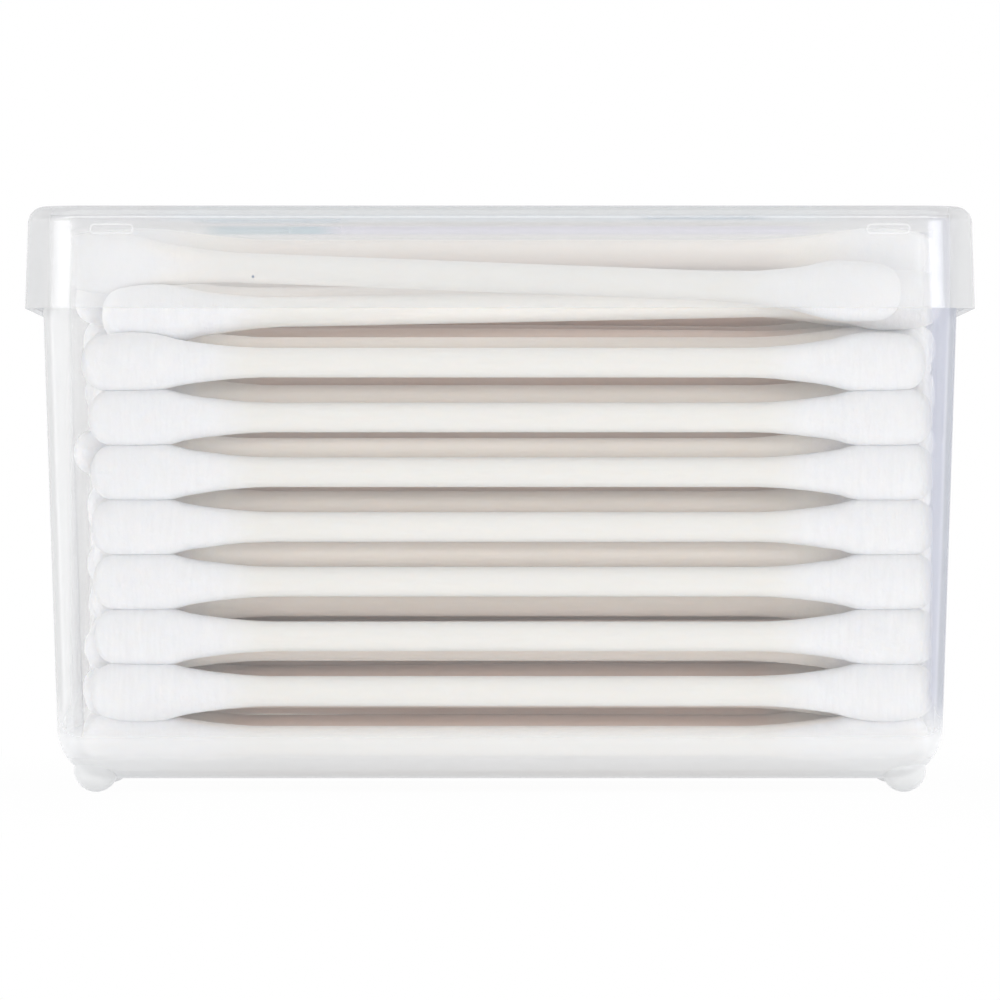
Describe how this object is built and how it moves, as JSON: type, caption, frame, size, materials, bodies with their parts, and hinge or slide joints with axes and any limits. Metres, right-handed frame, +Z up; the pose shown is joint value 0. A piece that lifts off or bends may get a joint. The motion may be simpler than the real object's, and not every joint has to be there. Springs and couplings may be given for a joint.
{
  "type": "cotton swab tub",
  "caption": "Clear rectangular tub on ball feet with a push-on lid, packed with double-ended cotton swabs on paper sticks.",
  "frame": {"origin": "under the middle of the tub, level with the lowest points of its ball feet", "axes": "+X along the swabs, to the right seen from the front; -Y to the front; +Z up, the way the lid lifts"},
  "size_m": [0.0836, 0.0488, 0.0516],
  "materials": {
    "clear_plastic": "clear, smooth moulding",
    "frosted_plastic": "cloudy moulding, a little less clear than the tub",
    "cotton_and_paper": "matt wound cotton on a rolled paper stick"
  },
  "bodies": {
    "tub": {"tub": "clear_plastic", "swab_front_1": "cotton_and_paper", "swab_front_2": "cotton_and_paper", "swab_front_3": "cotton_and_paper", "swab_front_4": "cotton_and_paper", "swab_front_5": "cotton_and_paper", "swab_front_6": "cotton_and_paper", "swab_front_7": "cotton_and_paper", "swab_front_8": "cotton_and_paper", "swab_front_9": "cotton_and_paper", "swab_front_10": "cotton_and_paper", "swab_layer_0_1": "cotton_and_paper", "swab_layer_0_2": "cotton_and_paper", "swab_layer_0_3": "cotton_and_paper", "swab_layer_0_4": "cotton_and_paper", "swab_layer_0_5": "cotton_and_paper", "swab_layer_0_6": "cotton_and_paper", "swab_layer_0_7": "cotton_and_paper", "swab_layer_1_1": "cotton_and_paper", "swab_layer_1_2": "cotton_and_paper", "swab_layer_1_3": "cotton_and_paper", "swab_layer_1_4": "cotton_and_paper", "swab_layer_1_5": "cotton_and_paper", "swab_layer_1_6": "cotton_and_paper", "swab_layer_2_1": "cotton_and_paper", "swab_middle_2": "cotton_and_paper", "swab_layer_2_7": "cotton_and_paper", "swab_layer_3_1": "cotton_and_paper", "swab_middle_3": "cotton_and_paper", "swab_layer_3_6": "cotton_and_paper", "swab_layer_4_1": "cotton_and_paper", "swab_middle_4": "cotton_and_paper", "swab_layer_4_7": "cotton_and_paper", "swab_layer_5_1": "cotton_and_paper", "swab_middle_5": "cotton_and_paper", "swab_layer_5_7": "cotton_and_paper", "swab_layer_6_1": "cotton_and_paper", "swab_middle_6": "cotton_and_paper", "swab_layer_6_7": "cotton_and_paper", "swab_layer_7_1": "cotton_and_paper", "swab_middle_7": "cotton_and_paper", "swab_layer_7_7": "cotton_and_paper", "swab_layer_8_1": "cotton_and_paper", "swab_layer_8_2": "cotton_and_paper", "swab_layer_8_3": "cotton_and_paper", "swab_layer_8_4": "cotton_and_paper", "swab_layer_8_5": "cotton_and_paper", "swab_layer_8_6": "cotton_and_paper", "swab_layer_8_7": "cotton_and_paper", "swab_layer_9_1": "cotton_and_paper", "swab_layer_9_2": "cotton_and_paper", "swab_layer_9_3": "cotton_and_paper", "swab_layer_9_4": "cotton_and_paper", "swab_layer_9_5": "cotton_and_paper", "swab_layer_9_6": "cotton_and_paper", "swab_layer_9_7": "cotton_and_paper", "swab_top_1": "cotton_and_paper", "swab_top_2": "cotton_and_paper", "swab_top_3": "cotton_and_paper"},
    "lid": {"lid": "frosted_plastic"}
  },
  "joints": [
    {"name": "lid_lift", "type": "slide", "parent": "tub", "child": "lid", "axis": [0, 0, 1], "range_m": [0, 0.06]}
  ]
}
